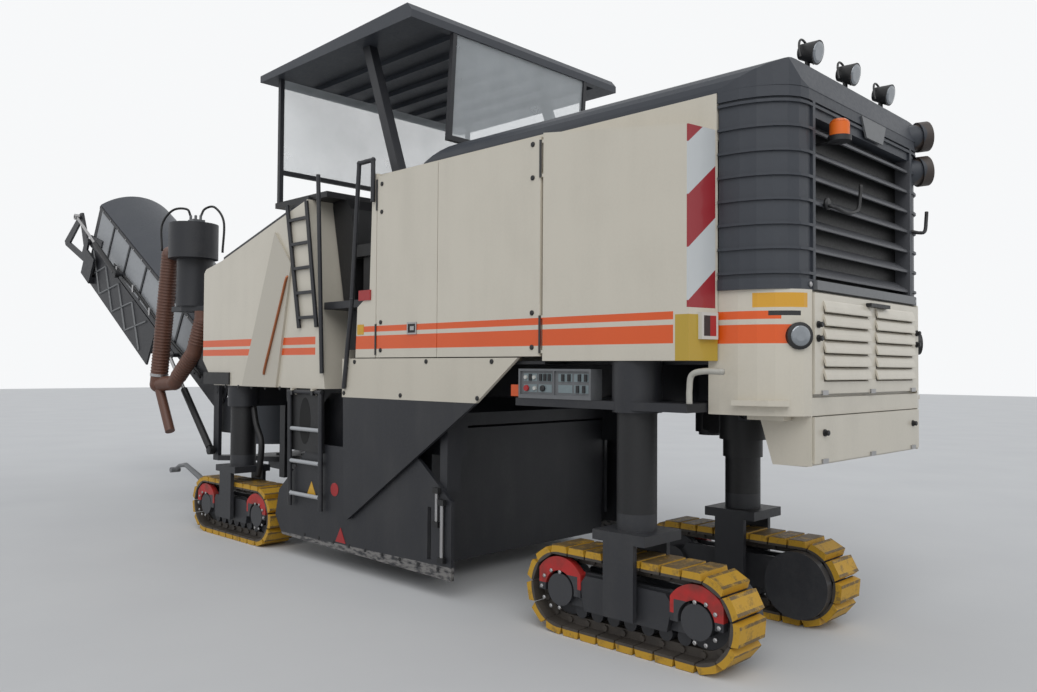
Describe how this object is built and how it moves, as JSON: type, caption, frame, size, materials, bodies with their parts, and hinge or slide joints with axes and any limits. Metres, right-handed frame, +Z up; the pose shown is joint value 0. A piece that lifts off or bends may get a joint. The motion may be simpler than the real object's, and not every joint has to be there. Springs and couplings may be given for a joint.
{
  "type": "cold planer milling machine on four crawler tracks",
  "caption": "Road milling machine on crawler tracks with a canopied platform, a milling drum under its waist and a folded discharge conveyor that slews, luffs and unfolds.",
  "frame": {"origin": "on the ground under the middle of the whole machine's outline, conveyor included", "axes": "+X forward (the conveyor's end), +Y to the machine's left, +Z up; the ground is Z = 0"},
  "size_m": [12.4327, 2.5776, 4.42],
  "materials": {
    "beige": "satin",
    "charcoal": "satin",
    "black": "matte",
    "steel": "satin",
    "drum_steel": "worn",
    "pads": "worn",
    "glass": "clear",
    "hose": "satin",
    "cover": "satin"
  },
  "bodies": {
    "root": {"chassis": "charcoal", "engine_block": "steel", "hood": "charcoal", "rear_grille": "black", "rear_body": "beige", "side_boxes": "beige", "bay_frame": "beige", "front_body": "beige", "platform": "charcoal", "operator_station": "black", "railings": "charcoal", "drum_housing": "charcoal", "scraper": "charcoal", "side_skirts": "charcoal", "primary_conveyor": "charcoal", "lamps": "black", "control_panel": "steel", "canopy_frame": "charcoal", "canopy_roof": "charcoal", "canopy_glass": "glass"},
    "drum": {"milling_drum": "drum_steel"},
    "side_plate_left": {"side_plate_left": "charcoal"},
    "side_plate_right": {"side_plate_right": "charcoal"},
    "ladder_left": {"ladder_left": "charcoal"},
    "ladder_right": {"ladder_right": "charcoal"},
    "left_front_door": {"left_front_door": "beige"},
    "left_rear_door": {"left_rear_door": "beige"},
    "right_front_door": {"right_front_door": "beige"},
    "right_rear_door": {"right_rear_door": "beige"},
    "louvre_door": {"louvre_door": "beige"},
    "storage_flap": {"storage_flap": "beige"},
    "front_left_crawler": {"front_left_leg": "charcoal", "front_left_track": "pads"},
    "front_right_crawler": {"front_right_leg": "charcoal", "front_right_track": "pads"},
    "rear_left_crawler": {"rear_left_leg": "charcoal", "rear_left_track": "pads"},
    "rear_right_crawler": {"rear_right_leg": "charcoal", "rear_right_track": "pads"},
    "swing_arm": {"swing_arm": "black", "leg_hoses": "black"},
    "leg_guide": {"leg_guide": "black"},
    "slew": {"slew_frame": "charcoal", "suction_unit": "charcoal", "suction_hoses": "hose"},
    "conveyor_main": {"conveyor_main": "cover", "conveyor_covers": "cover", "feed_hopper": "charcoal"},
    "conveyor_tip": {"conveyor_tip": "charcoal"},
    "luff_barrels": {"luff_barrels": "black"},
    "luff_rods": {"luff_rods": "steel"},
    "fold_barrels": {"fold_barrels": "black"},
    "fold_rods": {"fold_rods": "steel"}
  },
  "joints": [
    {"name": "drum_spin", "type": "hinge", "parent": "root", "child": "drum", "pos_m": [-2.451, 0, 0.665], "axis": [0, 1, 0], "continuous": true},
    {"name": "side_plate_left_lift", "type": "slide", "parent": "root", "child": "side_plate_left", "axis": [0, 0, 1], "range_m": [-0.1, 0.25]},
    {"name": "side_plate_right_lift", "type": "slide", "parent": "root", "child": "side_plate_right", "axis": [0, 0, 1], "range_m": [-0.1, 0.25]},
    {"name": "ladder_left_fold", "type": "hinge", "parent": "root", "child": "ladder_left", "pos_m": [-1.761, 1.252, 1.44], "axis": [1, 0, 0], "range_deg": [0, 80]},
    {"name": "ladder_right_fold", "type": "hinge", "parent": "root", "child": "ladder_right", "pos_m": [-1.761, -1.252, 1.44], "axis": [-1, 0, 0], "range_deg": [0, 80]},
    {"name": "left_rear_door_hinge", "type": "hinge", "parent": "root", "child": "left_rear_door", "pos_m": [-4.488, 1.25, 2.4], "axis": [0, 0, 1], "range_deg": [0, 130]},
    {"name": "left_front_door_hinge", "type": "hinge", "parent": "root", "child": "left_front_door", "pos_m": [-2.748, 1.25, 2.4], "axis": [0, 0, -1], "range_deg": [0, 110]},
    {"name": "right_rear_door_hinge", "type": "hinge", "parent": "root", "child": "right_rear_door", "pos_m": [-4.488, -1.25, 2.4], "axis": [0, 0, -1], "range_deg": [0, 130]},
    {"name": "right_front_door_hinge", "type": "hinge", "parent": "root", "child": "right_front_door", "pos_m": [-2.748, -1.25, 2.4], "axis": [0, 0, 1], "range_deg": [0, 110]},
    {"name": "louvre_door_hinge", "type": "hinge", "parent": "root", "child": "louvre_door", "pos_m": [-6.083, 0, 1.53], "axis": [0, -1, 0], "range_deg": [0, 90]},
    {"name": "storage_flap_hinge", "type": "hinge", "parent": "root", "child": "storage_flap", "pos_m": [-6.088, 0, 1.15], "axis": [0, -1, 0], "range_deg": [0, 90]},
    {"name": "front_left_steer", "type": "hinge", "parent": "root", "child": "front_left_crawler", "pos_m": [-0.411, 1.095, 0.9], "axis": [0, 0, 1], "range_deg": [-30, 30]},
    {"name": "front_right_steer", "type": "hinge", "parent": "root", "child": "front_right_crawler", "pos_m": [-0.411, -1.095, 0.9], "axis": [0, 0, 1], "range_deg": [-30, 30]},
    {"name": "rear_left_steer", "type": "hinge", "parent": "root", "child": "rear_left_crawler", "pos_m": [-5.141, 1.095, 0.9], "axis": [0, 0, 1], "range_deg": [-25, 25]},
    {"name": "rear_right_steer", "type": "hinge", "parent": "leg_guide", "child": "rear_right_crawler", "pos_m": [-5.141, -0.14, 0.9], "axis": [0, 0, 1], "range_deg": [-25, 25]},
    {"name": "swing_arm_turn", "type": "hinge", "parent": "root", "child": "swing_arm", "pos_m": [-4.591, -0.62, 1.3], "axis": [0, 0, 1], "range_deg": [0, 82]},
    {"name": "leg_guide_turn", "type": "hinge", "parent": "swing_arm", "child": "leg_guide", "pos_m": [-5.141, -0.14, 1.2], "axis": [0, 0, 1], "range_deg": [-82, 0]},
    {"name": "conveyor_slew", "type": "hinge", "parent": "root", "child": "slew", "pos_m": [0.759, 0, 1.4], "axis": [0, 0, 1], "range_deg": [-60, 60]},
    {"name": "conveyor_luff", "type": "hinge", "parent": "slew", "child": "conveyor_main", "pos_m": [1.159, 0, 1.385], "axis": [0, -1, 0], "range_deg": [-10, 4]},
    {"name": "luff_barrels_turn", "type": "hinge", "parent": "slew", "child": "luff_barrels", "pos_m": [1.179, 0, 0.7], "axis": [0, -1, 0], "range_deg": [-8, 4]},
    {"name": "luff_rods_slide", "type": "slide", "parent": "luff_barrels", "child": "luff_rods", "axis": [0.7198, 0, 0.6942], "range_m": [-0.1, 0.05]},
    {"name": "conveyor_fold", "type": "hinge", "parent": "conveyor_main", "child": "conveyor_tip", "pos_m": [5.29147, 0, 3.49192], "axis": [0, -1, 0], "range_deg": [0, 180]},
    {"name": "fold_barrels_turn", "type": "hinge", "parent": "conveyor_main", "child": "fold_barrels", "pos_m": [4.01818, 0, 2.91483], "axis": [0, -1, 0], "range_deg": [-26, 0]},
    {"name": "fold_rods_slide", "type": "slide", "parent": "fold_barrels", "child": "fold_rods", "axis": [0.8472, 0, 0.5313], "range_m": [-0.825, 0]}
  ],
  "couplings": [
    {"joint": "front_right_steer", "follows": "front_left_steer", "ratio": 1},
    {"joint": "rear_right_steer", "follows": "rear_left_steer", "ratio": 1},
    {"joint": "leg_guide_turn", "follows": "swing_arm_turn", "ratio": -1},
    {"joint": "luff_barrels_turn", "follows": "conveyor_luff", "ratio": 0.7141},
    {"joint": "luff_rods_slide", "follows": "conveyor_luff", "m_per_rad": 0.5232},
    {"joint": "fold_barrels_turn", "follows": "conveyor_fold", "ratio": -0.1209},
    {"joint": "fold_rods_slide", "follows": "conveyor_fold", "m_per_rad": -0.2606}
  ]
}
